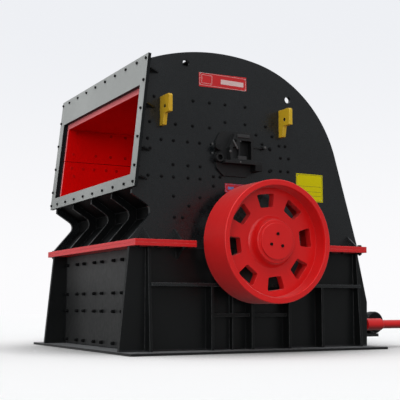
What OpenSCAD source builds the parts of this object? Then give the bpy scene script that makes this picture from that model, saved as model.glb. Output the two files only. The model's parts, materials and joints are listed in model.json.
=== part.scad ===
// Hammer crusher: a split housing with an inclined feed mouth and a rotor between two flywheels.
// X runs along the machine with the feed side at minus X, Y along the rotor axis, Z up.

/* [Rotor] */
// Radius swept by the hammer tips
tip_r = 1050; // [870:5:1270]
// Number of rotor discs
disc_n = 7; // [5:1:9]
// Diameter of the main shaft
shaft_d = 220; // [180:2:266]
// Diameter of the flywheels
wheel_d = 1500; // [1250:10:1800]
// Width of the flywheel rim
wheel_w = 530; // [440:2:640]
// Gap from the side plate to the flywheel rim
wheel_gap = 180; // [150:1:220]
// Radial thickness of the flywheel rim
rim_t = 80; // [60:1:100]

/* [Housing] */
// Width over the side plates
housing_w = 2790; // [2320:5:3350]
// Thickness of the side plates
side_t = 50; // [40:1:60]
// Thickness of the other walls
wall_t = 40; // [32:1:48]
// Gap from the hammer tips to the ground
sump = 290; // [240:1:350]
// Thickness of each of the two joint flanges
joint_t = 40; // [32:1:48]
// How far the joint flanges stand out past the side plates
joint_out = 200; // [165:1:240]
// Height of the crown of the side plates over the top of the feed flange
crown_rise = 163; // [130:1:190]
// Radius of the flat arc over the top of the side plates
crown_r = 2720; // [2580:5:3260]
// Radius of the arc at the rear shoulder of the side plates
shoulder_r = 1645; // [1370:5:1750]

/* [Base] */
// Thickness of the base plate
base_t = 30; // [24:1:40]
// How far the base plate reaches past each side plate
base_out = 400; // [330:5:480]
// Diameter of the anchor holes
anchor_d = 42; // [34:1:52]

/* [Feed] */
// Lean of the feed flange from the vertical
feed_tilt = 6; // [4:0.5:7.5]
// Height of the feed flange's top edge over the joint
feed_rise = 2300; // [2200:5:2760]
// Length of the feed flange down its slope
feed_len = 1645; // [1600:5:1700]
// Thickness of the feed flange
feed_t = 40; // [32:1:48]
// How far the feed flange stands out past the side plates
feed_out = 150; // [125:1:180]
// Distance of the mouth from the top edge of the flange
mouth_top = 373; // [310:1:448]
// Width of the flange's strip under the mouth
mouth_lip = 159; // [130:1:190]
// Thickness of the red side and floor liners
liner_t = 40; // [32:1:48]
// Thickness of the red roof liner
roof_liner_t = 75; // [62:1:90]

/* [Hidden] */
$fn = 96;
slack = 5;
seat = 0.3;
shaft_fit = 0.2;

// levels over the ground and places across the machine
axis_z = tip_r + sump;
split_z = axis_z - 30;
low_z = split_z - joint_t;
up_z = split_z + joint_t;
hw = housing_w / 2;
in_y = hw - side_t;

// walls ahead of and behind the rotor
front_wall_x = tip_r + 400;
rear_wall_x = tip_r + 550;
front_x = front_wall_x + 200;
rear_x = rear_wall_x + 124;
low_front = front_x + 120;
low_rear = rear_wall_x + 255;
low_knee = [low_rear + 15, low_z - 655];
base_front = low_front + 20;
base_rear = low_rear + 25;
anchor_x = low_front - 120;

// feed flange, in the X-Z plane
feed_x = front_x - 165;
feed_top = split_z + feed_rise;
mouth_bottom = feed_len - mouth_lip;
feed_sin = sin(feed_tilt);
feed_cos = cos(feed_tilt);
function on_feed(s, depth = 0) =
    [-feed_x - s * feed_sin + depth * feed_cos, feed_top - s * feed_cos - depth * feed_sin];
mouth_hy = hw - 10;
liner_in = 15;
roof_end = -300;
floor_end = on_feed(mouth_bottom + 120, 510);
floor_line = [on_feed(mouth_bottom + 10, feed_t), floor_end];

// side outline: crown arc, shoulder arc and a straight rear edge, tangent to each other
function arc_pt(c, r, a) = c + r * [cos(a), sin(a)];
end_a = 16.2;
rear_foot = [rear_x, up_z];
rear_n = [cos(end_a), sin(end_a)];
rear_t = [-sin(end_a), cos(end_a)];
crown_c = [-feed_x + 1069, feed_top + crown_rise - crown_r];
shoulder_off = rear_foot * rear_n - shoulder_r;
shoulder_up = crown_c * rear_t + sqrt((crown_r - shoulder_r) ^ 2 - (shoulder_off - crown_c * rear_n) ^ 2);
shoulder_c = shoulder_off * rear_n + shoulder_up * rear_t;
turn_a = atan2(shoulder_c[1] - crown_c[1], shoulder_c[0] - crown_c[0]);
turn_p = arc_pt(crown_c, crown_r, turn_a);
end_p = arc_pt(shoulder_c, shoulder_r, end_a);
crown_x = on_feed(0, feed_t)[0] + 20;
crown_a = acos((crown_x - crown_c[0]) / crown_r);
crown_p = arc_pt(crown_c, crown_r, crown_a);
lift_d = 90;
lift_holes = [arc_pt(crown_c, crown_r - 138, 100.8), arc_pt(shoulder_c, shoulder_r - 210, 54.9)];

// throat under the feed flange: both edges meet at throat_p
throat_p = [-front_x + 317, up_z + 374];
throat_toe = [-front_x - 5, up_z];
throat_lip = on_feed(feed_len, feed_t) - [0, 66];
throat_down = atan2(throat_p[1] - throat_toe[1], throat_p[0] - throat_toe[0]);
throat_up = atan2(throat_lip[1] - throat_p[1], throat_p[0] - throat_lip[0]);
throat_r = 90;
throat_set = 60;
rib_y = [-735, -30, 675] / 1395 * hw;

// side ribs and bearing shelf
shelf_top = axis_z - 500;
shelf_t = 40;
shelf_w = wheel_gap - 30;
rib_t = 36;
rib_x = [-600, -30, 520, rear_wall_x - 570];
end_rib_x = [30 - front_wall_x, rear_wall_x + 57];

// rotor
wheel_r = wheel_d / 2;
wheel_in = hw + wheel_gap;
wheel_face = wheel_in + wheel_w;
web_set = 0.35 * wheel_w;
web_t = 110;
hub_base_r = 322;
hub_r = 265;
cap_r = 222;
cap_in = 42;
shaft_end = wheel_face - cap_in - 45;
window_in = hub_base_r + 103;
window_a = 12;
window_out = wheel_r - rim_t - 80;
pin_r = tip_r - 450;
pin_d = 90;
disc_r = pin_r + 120;
disc_t = 50;
disc_pitch = 2 * (in_y - 120) / (disc_n - 1);
bearing_w = shelf_w - slack;
shaft_hole_r = shaft_d / 2 + 60;
notch_x = wheel_r + 100;
grate_r = tip_r + 70;

// ---- helpers ----

// an X-Z outline as a plate between two Y values
module slab(y0, y1) {
    translate([0, y1, 0]) rotate([90, 0, 0]) linear_extrude(y1 - y0) children();
}

// the same part on the far side
module far() {
    mirror([0, 1, 0]) children();
}

function unit(v) = v / norm(v);
function side_of(a, b) = let (d = unit(b - a)) [d[1], -d[0]];
function shifted(p, i, d) =
    i == 0 ? p[0] + d * side_of(p[0], p[1]) :
    i == len(p) - 1 ? p[i] + d * side_of(p[i - 1], p[i]) :
    let (m = side_of(p[i - 1], p[i]), n = side_of(p[i], p[i + 1])) p[i] + d * (m + n) / (1 + m * n);

// a plate bent along a line of points, with its thickness on the right of the line
module bent(p, t) {
    polygon(concat(p, [for (i = [len(p) - 1:-1:0]) shifted(p, i, t)]));
}

// a convex outline, given anticlockwise, with its corners rounded in steps
module round_poly(p, r, steps = 5) {
    n = len(p);
    polygon([for (i = [0:n - 1])
        let (a = side_of(p[(i + n - 1) % n], p[i]), b = side_of(p[i], p[(i + 1) % n]),
            c = p[i] - r * (a + b) / (1 + a * b), a0 = atan2(a[1], a[0]),
            turn = (atan2(b[1], b[0]) - a0 + 720) % 360)
        for (k = [0:steps]) arc_pt(c, r, a0 + turn * k / steps)]);
}

// the part of a disc between an arc and its chord
module arc_cap(c, r, a0, a1) {
    m = (a0 + a1) / 2;
    intersection() {
        translate(c) circle(r, $fn = 240);
        polygon([arc_pt(c, r, a0), arc_pt(c, r / cos((a1 - a0) / 2), m), arc_pt(c, r, a1),
            arc_pt(c, r * cos((a1 - a0) / 2) - 60, m)]);
    }
}

// the void cut by the throat, which the side plates and ribs share
module throat_void() {
    m = (180 - throat_up + 180 + throat_down) / 2;
    h = (throat_up + throat_down) / 2;
    c = throat_p + throat_r / sin(h) * [cos(m), sin(m)];
    up = [-cos(throat_up), sin(throat_up)];
    down = [-cos(throat_down), -sin(throat_down)];
    leg = throat_r / tan(h);
    translate(c) circle(throat_r);
    polygon([throat_p + leg * up, throat_p + 900 * up, throat_p + 900 * down, throat_p + leg * down, c]);
}

// ---- base and lower housing ----

module base_plate() {
    color([0.13, 0.14, 0.15]) difference() {
        translate([-base_front, -hw - base_out, 0])
            cube([base_front + base_rear, housing_w + 2 * base_out, base_t]);
        translate([-tip_r - 150, -in_y + 60, -1]) cube([2 * tip_r + 300, 2 * in_y - 120, base_t + 2]);
        for (x = anchor_x * [-1, -1 / 3, 1 / 3, 1], s = [-1, 1])
            translate([x, s * (hw + base_out - 110), -1]) cylinder(d = anchor_d, h = base_t + 2);
    }
}

// bearing side plate of the lower housing with its welded ribs
module lower_side() {
    difference() {
        union() {
            slab(-hw, -in_y) polygon([[-low_front, base_t], [-front_x, low_z], [rear_x - 2, low_z],
                low_knee, [low_rear, base_t]]);
            for (x = end_rib_x) translate([x, 0, 0]) end_rib();
            for (x = rib_x) translate([x - rib_t / 2, -hw - shelf_w + 5, base_t])
                cube([rib_t, shelf_w, shelf_top - shelf_t - base_t]);
            translate([rib_x[0] + 310, -hw - 80, base_t]) cube([24, 85, shelf_top - shelf_t - base_t]);
            gusset(430 - front_wall_x, low_z, -1);
            for (k = [0, 1]) translate([rib_x[k], -hw - 90, shelf_top - 410])
                cube([rib_x[k + 1] - rib_x[k], 95, 40]);
        }
        shaft_hole();
        translate([end_rib_x[0] - 1, -hw - shelf_w - 1, shelf_top - shelf_t])
            cube([end_rib_x[1] - end_rib_x[0] + 2, shelf_w + 1, shelf_t]);
    }
}

// hole for the shaft through everything across the machine
module shaft_hole() {
    translate([0, hw + 1, axis_z]) rotate([90, 0, 0]) cylinder(r = shaft_hole_r, h = housing_w + 2);
}

// rib at each end of the side, deeper at the foot than under the flange
module end_rib() {
    translate([-rib_t / 2, 0, 0]) rotate([90, 0, 90]) linear_extrude(rib_t)
        polygon([[-hw + 5, base_t], [-hw - shelf_w + 5, base_t], [-hw - 70, low_z], [-hw + 5, low_z]]);
}

module lower_side_near() { color([0.15, 0.16, 0.17]) lower_side(); }
module lower_side_far() { color([0.15, 0.16, 0.17]) far() lower_side(); }

module lower_front_wall() {
    color([0.2, 0.21, 0.22]) translate([-front_wall_x, -in_y, base_t])
        cube([wall_t, 2 * in_y, low_z - base_t]);
}

module lower_rear_wall() {
    color([0.15, 0.16, 0.17]) {
        translate([rear_wall_x - wall_t, -in_y, base_t]) cube([wall_t, 2 * in_y, low_z - base_t]);
        for (y = hw * [-0.47, 0, 0.47]) slab(y - 15, y + 15)
            polygon([[rear_wall_x - 5, base_t], [rear_wall_x - 5, low_z], [rear_x - 2, low_z], low_knee,
                [low_rear, base_t]]);
    }
}

module shelf() {
    translate([end_rib_x[0], -hw - shelf_w, shelf_top - shelf_t])
        cube([end_rib_x[1] - end_rib_x[0], shelf_w, shelf_t]);
}

module bearing_shelf_near() { color([0.15, 0.16, 0.17]) shelf(); }
module bearing_shelf_far() { color([0.15, 0.16, 0.17]) far() shelf(); }

// half of a joint flange: an arm down each side with a notch for the bearing
module joint_half(end, z, inner) {
    difference() {
        union() {
            for (s = [0, 1]) mirror([0, s, 0]) {
                translate([0, -hw, z]) cube([end, side_t, joint_t]);
                translate([notch_x, -hw - joint_out, z]) cube([end - notch_x, joint_out + side_t, joint_t]);
            }
            translate([inner, -hw, z]) cube([end - inner, housing_w, joint_t]);
        }
        shaft_hole();
    }
}

module flange_front(z, inner) { mirror([1, 0, 0]) joint_half(front_x + 12, z, inner); }
module flange_rear(z) { joint_half(rear_x, z, rear_wall_x - wall_t); }

module lower_flange_front() { color([0.78, 0.1, 0.12]) flange_front(low_z, front_wall_x - wall_t); }
module lower_flange_rear() { color([0.78, 0.1, 0.12]) flange_rear(low_z); }
module upper_flange_front() { color([0.78, 0.1, 0.12]) flange_front(split_z, front_wall_x - wall_t); }
module upper_flange_rear() { color([0.78, 0.1, 0.12]) flange_rear(split_z); }

// ---- upper housing ----

module side_outline() {
    difference() {
        union() {
            polygon([throat_toe, on_feed(feed_len, feed_t + seat), on_feed(0, feed_t + seat), crown_p, turn_p,
                end_p, rear_foot]);
            arc_cap(crown_c, crown_r, turn_a, crown_a);
            arc_cap(shoulder_c, shoulder_r, end_a, turn_a);
        }
        throat_void();
    }
}

module upper_side() {
    difference() {
        union() {
            slab(-hw, -in_y) side_outline();
            for (x = gusset_x) gusset(x, up_z, 1);
            for (s = web_s) place_feed() translate([feed_t + seat, 0, -s]) flange_web();
        }
        shaft_hole();
        for (p = lift_holes) translate([p[0], -in_y + 1, p[1]]) rotate([90, 0, 0])
            cylinder(d = lift_d, h = side_t + 2);
    }
}

// upright web on a joint flange, which slopes out from the side plate
gusset_x = [-20 - front_wall_x, 395 - front_wall_x, rear_x - 170];
gusset_h = 140;
module gusset(x, z, up) {
    translate([x - 10, 0, z]) rotate([90, 0, 90]) linear_extrude(20)
        polygon([[-hw + 5, 0], [-hw - joint_out + 15, 0], [-hw - joint_out + 15, up * 15], [-hw - 15, up * gusset_h],
            [-hw + 5, up * gusset_h]]);
}

// small web behind the feed flange
web_s = [167, 615, 1152, 1508] / 1645 * feed_len;
web_len = 180;
module flange_web() {
    translate([0, 0, -9]) linear_extrude(18)
        polygon([[0, -hw - feed_out + 10], [0, -hw - 1], [3, -hw + 5], [web_len, -hw + 5], [web_len, -hw - 10],
            [20, -hw - feed_out + 10]]);
}

module place_feed() {
    translate([-feed_x, 0, feed_top]) rotate([0, feed_tilt, 0]) children();
}

module upper_side_near() { color([0.15, 0.16, 0.17]) upper_side(); }
module upper_side_far() { color([0.15, 0.16, 0.17]) far() upper_side(); }

// bent cover plate between the side plates, from the feed flange to the rear flange
cover_line = [on_feed(140, feed_t), arc_pt(crown_c, crown_r - 135, 96), arc_pt(crown_c, crown_r - 190, turn_a + 1),
    arc_pt(shoulder_c, shoulder_r - 210, 39), arc_pt(shoulder_c, shoulder_r - 145, end_a - 4),
    [rear_wall_x - wall_t, up_z]];
module top_cover() {
    color([0.15, 0.16, 0.17]) slab(-in_y, in_y) difference() {
        bent(cover_line, wall_t);
        ahead_of_flange(seat);
        translate([0, up_z - 200]) square([2 * rear_x, 200]);
    }
}

hole_pitch = 352;
flange_hole = 34;
module feed_flange() {
    edge_y = hw + feed_out - 45;
    along = [for (k = [0:3]) (k + 0.5) * hole_pitch];
    down = [60, for (k = [0:3]) 335 + k * hole_pitch, feed_len - 55];
    color([0.66, 0.67, 0.67]) place_feed() difference() {
        translate([0, -hw - feed_out, -feed_len]) cube([feed_t, housing_w + 2 * feed_out, feed_len]);
        translate([-1, -mouth_hy, -mouth_bottom]) cube([feed_t + 2, 2 * mouth_hy, mouth_bottom - mouth_top]);
        for (y = concat(along, -along), s = [down[0], down[5]]) flange_hole_at(y, s);
        for (y = [-edge_y, edge_y], s = down) flange_hole_at(y, s);
    }
}

module flange_hole_at(y, s) {
    translate([-1, y, -s]) rotate([0, 90, 0]) cylinder(d = flange_hole, h = feed_t + 2);
}

// underside of the roof, level with the top of the mouth
roof_z = on_feed(mouth_top, feed_t)[1];
ceiling_z = roof_z - roof_liner_t;

module feed_roof() {
    color([0.13, 0.14, 0.15]) slab(-in_y, in_y) difference() {
        translate([-feed_x - 300, roof_z]) square([feed_x + 300 + roof_end, wall_t]);
        ahead_of_flange(seat);
    }
}

// the floor plate starts ahead of the flange's back, where it is cut off
floor_start = floor_line[0] + 64 * unit(floor_line[0] - floor_line[1]);

module feed_floor() {
    color([0.13, 0.14, 0.15]) slab(-in_y, in_y) difference() {
        bent([floor_start, floor_line[1]], wall_t);
        ahead_of_flange(seat);
    }
}

// outer line of the throat wall, behind the rib edges: foot, two knees and the flange's back
wall_a = throat_p + [throat_set, -75];
wall_b = throat_p + [throat_set, 65];
wall_up = [-cos(throat_up), sin(throat_up)];
wall_down = [-cos(throat_down), -sin(throat_down)];
feed_n = [feed_cos, -feed_sin];
wall_top = wall_b + wall_up * ((on_feed(0, feed_t) - wall_b) * feed_n) / (wall_up * feed_n);
wall_foot = wall_a + wall_down * (wall_a[1] - up_z) / sin(throat_down);

module throat_wall() {
    color([0.13, 0.14, 0.15]) slab(-in_y, in_y) difference() {
        translate([seat, 0]) bent([wall_foot + 90 * wall_down, wall_a, wall_b, wall_top + 90 * wall_up], wall_t);
        translate([-2 * front_x, up_z - 400]) square([2 * front_x, 400]);
        ahead_of_flange(seat);
        above_floor();
    }
}

// everything over the underside of the feed floor plate
module above_floor() {
    down = (wall_t + seat) * side_of(floor_start, floor_end);
    polygon([floor_start + down, floor_end + down, floor_end + [0, 900], floor_start + [0, 900]]);
}

// everything in front of a plane at this depth behind the feed flange's back face
module ahead_of_flange(gap) {
    polygon([on_feed(-400, feed_t + gap), on_feed(2400, feed_t + gap), on_feed(2400, -900), on_feed(-400, -900)]);
}

module throat_rib(y) {
    color([0.15, 0.16, 0.17]) slab(y - wall_t / 2, y + wall_t / 2) difference() {
        polygon([throat_toe, on_feed(feed_len, feed_t + seat), wall_top + [seat, 0], wall_b, wall_a, wall_foot]);
        throat_void();
    }
}

module throat_rib_near() { throat_rib(rib_y[0]); }
module throat_rib_middle() { throat_rib(rib_y[1]); }
module throat_rib_far() { throat_rib(rib_y[2]); }

// ---- liners and breaker ----

module roof_liner() {
    color([0.72, 0.06, 0.07]) slab(-in_y, in_y) difference() {
        translate([-feed_x - 300, ceiling_z]) square([feed_x + 300 + roof_end, roof_liner_t]);
        ahead_of_flange(liner_in);
    }
}

module floor_liner() {
    color([0.72, 0.06, 0.07]) slab(-in_y, in_y) difference() {
        translate([0, seat]) bent([floor_line[1], floor_start], liner_t);
        ahead_of_flange(liner_in);
    }
}

// plate of wear liner on a side wall, from the ceiling down to the floor liner
module side_liner() {
    up = (liner_t + 2 * seat) * side_of(floor_line[1], floor_line[0]);
    slab(-in_y, -in_y + liner_t) difference() {
        polygon([[-feed_x - 300, ceiling_z], floor_start + up, floor_line[1] + up, [roof_end - 30, axis_z + tip_r + 20],
            [roof_end - 30, ceiling_z]]);
        ahead_of_flange(liner_in);
    }
}

module side_liner_near() { color([0.72, 0.06, 0.07]) side_liner(); }
module side_liner_far() { color([0.72, 0.06, 0.07]) far() side_liner(); }

// heavy plate hung behind the mouth, which stops short of the hammer tips
module breaker_apron() {
    near = tip_r + 110;
    color([0.3, 0.3, 0.31]) slab(-in_y, in_y) bent([[roof_end, roof_z + wall_t], [roof_end, axis_z + tip_r + 560],
        arc_pt([0, axis_z], near, 82), arc_pt([0, axis_z], near, 52)], -90);
}

// ---- fittings on the side plates ----

lug_x = [-feed_x + 225, rear_wall_x - 1133];
lug_t = 50;
lug_top = feed_top - 494;
lug_out = 257;
lug_hole_d = 50;
lug_hole = [-hw - 143, lug_top - 140];
module lug(x) {
    y = -hw;
    z = lug_top;
    translate([x, 0, 0]) rotate([90, 0, 90]) linear_extrude(lug_t) difference() {
        polygon([[y, z], [y - lug_out + 22, z], [y - lug_out, z - 22], [y - lug_out, z - 222],
            [y - 125, z - 222], [y - 92, z - 360], [y, z - 360]]);
        translate(lug_hole) circle(d = lug_hole_d, $fn = 32);
    }
}

module lug_near_front() { color([0.86, 0.64, 0.1]) lug(lug_x[0]); }
module lug_near_rear() { color([0.86, 0.64, 0.1]) lug(lug_x[1]); }
module lug_far_front() { color([0.86, 0.64, 0.1]) far() lug(lug_x[0]); }
module lug_far_rear() { color([0.86, 0.64, 0.1]) far() lug(lug_x[1]); }

// bracket with an open box, a shelf, a knob and a ring that carries the breaker apron
module adjuster() {
    translate([0, -hw, axis_z + 970]) {
        slab(-30, 0) polygon([[-380, -115], [-480, -20], [-486, 328], [-422, 438], [-349, 461], [22, 466],
            [59, 391], [59, -20], [-40, -115]]);
        difference() {
            slab(-130, -25) polygon([[-330, 70], [-345, 240], [-260, 425], [-20, 435], [-5, 400], [-5, 70]]);
            translate([-196, -131, 96]) cube([165, 90, 239]);
            translate([-300, -131, 96]) cube([84, 45, 150]);
        }
        slab(-150, 0) polygon([[-420, 35], [-420, 72], [118, 72], [118, -42], [18, -42], [18, 35]]);
        translate([-500, -95, 195]) cube([60, 95, 40]);
        translate([-502, -60, 233]) rotate([90, 0, 0]) cylinder(d = 70, h = 60);
        translate([-462, 0, 106]) rotate([90, 0, 0]) difference() {
            cylinder(d = 110, h = 95);
            translate([0, 0, 40]) cylinder(d = 66, h = 60);
        }
        translate([40, -20, 272]) cube([180, 20, 26]);
        translate([222, 0, 288]) rotate([90, 0, 0]) cylinder(d = 50, h = 55);
    }
}

module adjuster_near() { color([0.1, 0.1, 0.11]) adjuster(); }
module adjuster_far() { color([0.1, 0.1, 0.11]) far() adjuster(); }

module sign_plate(x, z, w, h, tilt) {
    translate([x, -hw, z]) rotate([0, -tilt, 0]) translate([-w / 2, -4, -h / 2]) cube([w, 4, h]);
}

module name_plate() { color([0.78, 0.1, 0.12]) sign_plate(crown_c[0] + 46, feed_top - 200, 695, 180, 1); }
module small_plate() { color([0.78, 0.1, 0.12]) sign_plate(-175, axis_z + 705, 340, 115, 0); }
module safety_plate() { color([0.85, 0.82, 0.12]) sign_plate(rear_wall_x - 652, axis_z + 782, 425, 370, 0); }

// ---- bearings and grate ----

module bearing() {
    y = -hw - slack;
    difference() {
        union() {
            translate([-460, y - bearing_w + slack, shelf_top]) cube([920, bearing_w - slack, 70]);
            translate([0, y, axis_z]) rotate([90, 0, 0]) cylinder(r = 290, h = bearing_w - slack);
            translate([-290, y - bearing_w + slack, shelf_top]) cube([580, bearing_w - slack, axis_z - shelf_top]);
            translate([-400, y - bearing_w + slack, axis_z - 60]) cube([800, bearing_w - slack, 60]);
            translate([-400, y - bearing_w + slack, axis_z]) cube([800, bearing_w - slack, 60]);
            translate([0, y - bearing_w + slack + 1, axis_z]) rotate([90, 0, 0]) cylinder(r = 190, h = 31);
        }
        translate([0, y + 1, axis_z]) rotate([90, 0, 0]) cylinder(d = shaft_d + shaft_fit, h = bearing_w + 60);
    }
}

module bearing_near() { color([0.12, 0.12, 0.13]) bearing(); }
module bearing_far() { color([0.12, 0.12, 0.13]) far() bearing(); }

// quarter k of the curved grate under the rotor: three bars on three curved carriers
grate_from = 210;
grate_step = 30;
module grate(k) {
    a0 = grate_from + k * grate_step;
    gap_a = 0.02;
    color([0.3, 0.29, 0.28]) {
        for (i = [0:2]) rotate_about(a0 + (i + 0.5) * grate_step / 3)
            translate([grate_r, -in_y + seat, -25]) cube([60, 2 * (in_y - seat), 50]);
        for (y = [-in_y + seat, -25, in_y - 50 - seat]) slab(y, y + 50) intersection() {
            difference() {
                translate([0, axis_z]) circle(grate_r + 90, $fn = 360);
                translate([0, axis_z]) circle(grate_r + 30, $fn = 360);
            }
            polygon([[0, axis_z], arc_pt([0, axis_z], 2 * tip_r, a0 + gap_a),
                arc_pt([0, axis_z], 2 * tip_r, a0 + grate_step - gap_a)]);
        }
    }
}

module grate_1() { grate(0); }
module grate_2() { grate(1); }
module grate_3() { grate(2); }
module grate_4() { grate(3); }

module rotate_about(a) {
    translate([0, 0, axis_z]) rotate([0, -a, 0]) children();
}

// ---- fittings at the rear ----

drum_r = 150;
drum_w = 120;
drum_x = rear_wall_x + 510;
foot_t = 40;
foot_z = 145;
drum_z = foot_z + foot_t + drum_r;
rod_y = -hw + 75;
rod_z = 312;
rod_r = 82;
rod_thin_r = 58;
rod_flat = rod_y + 60;
rod_x0 = low_knee[0] + 18;
rod_x1 = drum_x + 33;
eye_x = drum_x + 580;

module rear_bracket() {
    color([0.3, 0.31, 0.32]) {
        translate([rear_wall_x, rod_flat, foot_z]) cube([drum_x + 55 - rear_wall_x, drum_w + 30, foot_t]);
        slab(rod_flat + drum_w, rod_flat + drum_w + 30)
            polygon([[rear_wall_x, foot_z + 5], [rear_wall_x, 560], [drum_x - 140, 520], [drum_x + 45, 420],
                [drum_x + 55, foot_z + 5]]);
    }
}

module rear_drum() {
    color([0.08, 0.08, 0.09]) translate([drum_x, rod_flat + drum_w, drum_z]) rotate([90, 0, 0])
        rotate_extrude() polygon([[0, 0], [drum_r - 12, 0], [drum_r, 12], [drum_r, drum_w - 12],
            [drum_r - 12, drum_w], [0, drum_w]]);
}

// thick end flat against the drum, a cone, the thin bar and an eye
module pull_rod() {
    color([0.78, 0.1, 0.12]) difference() {
        union() {
            translate([rod_x0, rod_y, rod_z]) rotate([0, 90, 0]) rotate_extrude()
                polygon([[0, 0], [rod_r, 0], [rod_r, rod_x1 - rod_x0], [rod_thin_r, rod_x1 - rod_x0 + 40],
                    [rod_thin_r, eye_x - rod_x0 - 40], [0, eye_x - rod_x0 - 40]]);
            translate([eye_x, rod_y + 40, rod_z]) rotate([90, 0, 0]) cylinder(r = 85, h = 80);
        }
        translate([rod_x0 - 1, rod_flat, 0]) cube([1000, 200, 700]);
        translate([eye_x, rod_y + 41, rod_z]) rotate([90, 0, 0]) cylinder(r = 35, h = 82);
    }
}

// ---- rotor ----

module main_shaft() {
    color([0.55, 0.56, 0.58]) translate([0, shaft_end, axis_z]) rotate([90, 0, 0])
        cylinder(d = shaft_d, h = 2 * shaft_end);
}

module rotor_discs() {
    color([0.28, 0.28, 0.29]) translate([0, 0, axis_z]) rotate([90, 0, 0]) difference() {
        union() {
            translate([0, 0, -in_y + 60]) cylinder(r = 210, h = 2 * in_y - 120);
            for (i = [0:disc_n - 1]) translate([0, 0, -in_y + 120 + i * disc_pitch - disc_t / 2])
                cylinder(r = disc_r, h = disc_t);
        }
        translate([0, 0, -in_y]) cylinder(d = shaft_d, h = 2 * in_y);
        for (k = [0:3]) rotate(45 + 90 * k) translate([pin_r, 0, -in_y]) cylinder(d = pin_d, h = 2 * in_y);
    }
}

// one pin with its hammers, each between two discs
module hammer_row(k) {
    span = disc_pitch - disc_t - 2 * slack;
    color([0.36, 0.34, 0.33]) translate([0, 0, axis_z]) rotate([0, -45 - 90 * k, 0]) translate([pin_r, 0, 0]) {
        translate([0, in_y - 80, 0]) rotate([90, 0, 0]) cylinder(d = pin_d, h = 2 * in_y - 160);
        for (i = [0:disc_n - 2]) translate([-90, -in_y + 120 + i * disc_pitch + disc_t / 2 + slack, -100])
            cube([tip_r - pin_r + 90 - 12, span, 200]);
    }
}

module hammer_row_1() { hammer_row(0); }
module hammer_row_2() { hammer_row(1); }
module hammer_row_3() { hammer_row(2); }
module hammer_row_4() { hammer_row(3); }

// deep rim, recessed web with eight windows, hub and cap disc
module flywheel() {
    web_y = wheel_face - web_set;
    in_r = wheel_r - rim_t;
    cap_y = wheel_face - cap_in;
    hub_in = wheel_in + 60;
    translate([0, 0, axis_z]) rotate([90, 0, 0]) difference() {
        rotate_extrude($fn = 144) polygon([[0, cap_y], [cap_r, cap_y], [cap_r, cap_y - 24],
            [hub_r - 8, cap_y - 24], [hub_r, cap_y - 32], [hub_r + 8, web_y + 60], [hub_r + 28, web_y + 22],
            [hub_base_r, web_y], [in_r, web_y], [in_r, wheel_face - 30],
            [in_r + 14, wheel_face], [wheel_r - 8, wheel_face], [wheel_r, wheel_face - 8],
            [wheel_r, wheel_in + 8], [wheel_r - 8, wheel_in], [in_r, wheel_in],
            [in_r, web_y - web_t], [hub_r, web_y - web_t], [hub_r, hub_in],
            [shaft_d / 2, hub_in], [shaft_d / 2, shaft_end], [0, shaft_end]]);
        for (k = [0:7]) rotate(7 + 45 * k) translate([0, 0, web_y - web_t - 1]) linear_extrude(web_t + 2)
            round_poly([for (p = [[window_in, -1], [window_out, -1], [window_out, 1], [window_in, 1]])
                p[0] * [1, p[1] * tan(window_a)]], 24);
    }
}

module flywheel_near() { color([0.8, 0.1, 0.12]) flywheel(); }
module flywheel_far() { color([0.8, 0.1, 0.12]) far() flywheel(); }

base_plate();
lower_side_near();
lower_side_far();
lower_front_wall();
lower_rear_wall();
bearing_shelf_near();
bearing_shelf_far();
lower_flange_front();
lower_flange_rear();
upper_flange_front();
upper_flange_rear();
upper_side_near();
upper_side_far();
top_cover();
feed_flange();
feed_roof();
feed_floor();
throat_wall();
throat_rib_near();
throat_rib_middle();
throat_rib_far();
roof_liner();
floor_liner();
side_liner_near();
side_liner_far();
breaker_apron();
lug_near_front();
lug_near_rear();
lug_far_front();
lug_far_rear();
adjuster_near();
adjuster_far();
name_plate();
small_plate();
safety_plate();
bearing_near();
bearing_far();
grate_1();
grate_2();
grate_3();
grate_4();
rear_bracket();
rear_drum();
pull_rod();
main_shaft();
rotor_discs();
hammer_row_1();
hammer_row_2();
hammer_row_3();
hammer_row_4();
flywheel_near();
flywheel_far();
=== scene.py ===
import json
import math
import bpy
import bmesh
import numpy as np
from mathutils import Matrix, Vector


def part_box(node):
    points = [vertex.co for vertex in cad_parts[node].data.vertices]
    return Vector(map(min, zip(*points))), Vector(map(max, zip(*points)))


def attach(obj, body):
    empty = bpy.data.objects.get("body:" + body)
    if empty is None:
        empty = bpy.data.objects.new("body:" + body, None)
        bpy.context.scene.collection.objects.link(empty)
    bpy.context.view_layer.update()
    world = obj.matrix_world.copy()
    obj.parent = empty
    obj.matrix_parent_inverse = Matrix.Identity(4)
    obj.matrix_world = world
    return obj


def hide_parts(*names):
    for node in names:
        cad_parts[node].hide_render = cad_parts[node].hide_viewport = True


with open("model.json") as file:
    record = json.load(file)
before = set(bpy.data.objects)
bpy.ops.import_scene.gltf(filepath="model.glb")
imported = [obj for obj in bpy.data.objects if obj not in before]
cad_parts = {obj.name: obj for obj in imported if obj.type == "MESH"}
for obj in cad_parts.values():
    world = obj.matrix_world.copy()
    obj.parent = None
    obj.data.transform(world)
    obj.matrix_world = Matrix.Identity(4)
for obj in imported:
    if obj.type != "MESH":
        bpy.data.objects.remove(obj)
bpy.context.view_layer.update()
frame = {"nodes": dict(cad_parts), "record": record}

nodes = frame["nodes"]
bodyOf = {n: b for b, group in frame["record"]["behaviour"]["bodies"].items() for n in group}
slotOf = {part["node"]: part["material_slot"] for part in frame["record"]["subparts"]}
scene = bpy.context.scene
dice = np.random.default_rng(11)
print("frame loaded,", len(nodes), "nodes")

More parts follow.
